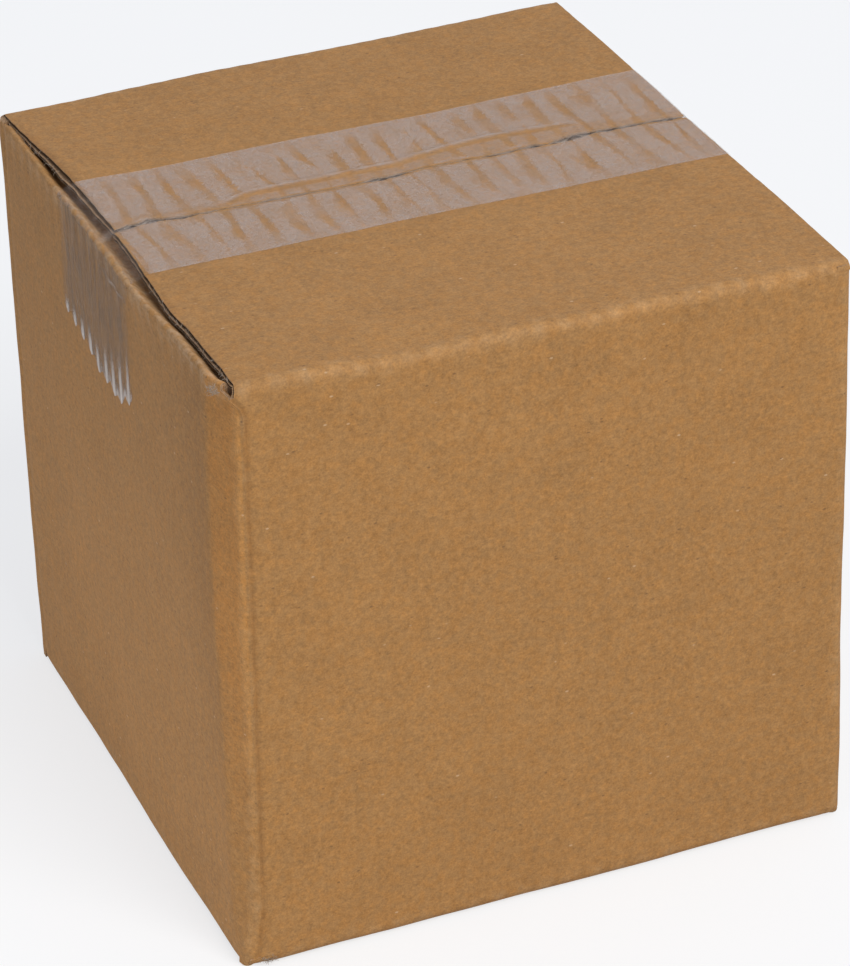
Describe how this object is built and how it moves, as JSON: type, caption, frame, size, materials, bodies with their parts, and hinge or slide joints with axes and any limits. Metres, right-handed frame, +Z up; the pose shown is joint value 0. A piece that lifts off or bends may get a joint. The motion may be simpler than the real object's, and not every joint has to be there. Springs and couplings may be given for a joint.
{
  "type": "corrugated shipping box",
  "caption": "Small near-cube kraft carton of double-wall corrugated board, folded and glued from one blank, closed with clear tape.",
  "frame": {"origin": "middle of the box's footprint, on the surface it stands on", "axes": "+Z up; X runs along the taped top seam; the large front panel faces -Y, the left side panel with the hanging tape end faces -X"},
  "size_m": [0.1526, 0.156, 0.1532],
  "materials": {
    "kraft_board": "matte brown kraft liner with fibre flecks",
    "clear_tape": "clear packing film, satin where it lies on the board"
  },
  "bodies": {
    "root": {"box_blank": "kraft_board", "top_tape": "clear_tape", "bottom_tape": "clear_tape"}
  },
  "joints": []
}
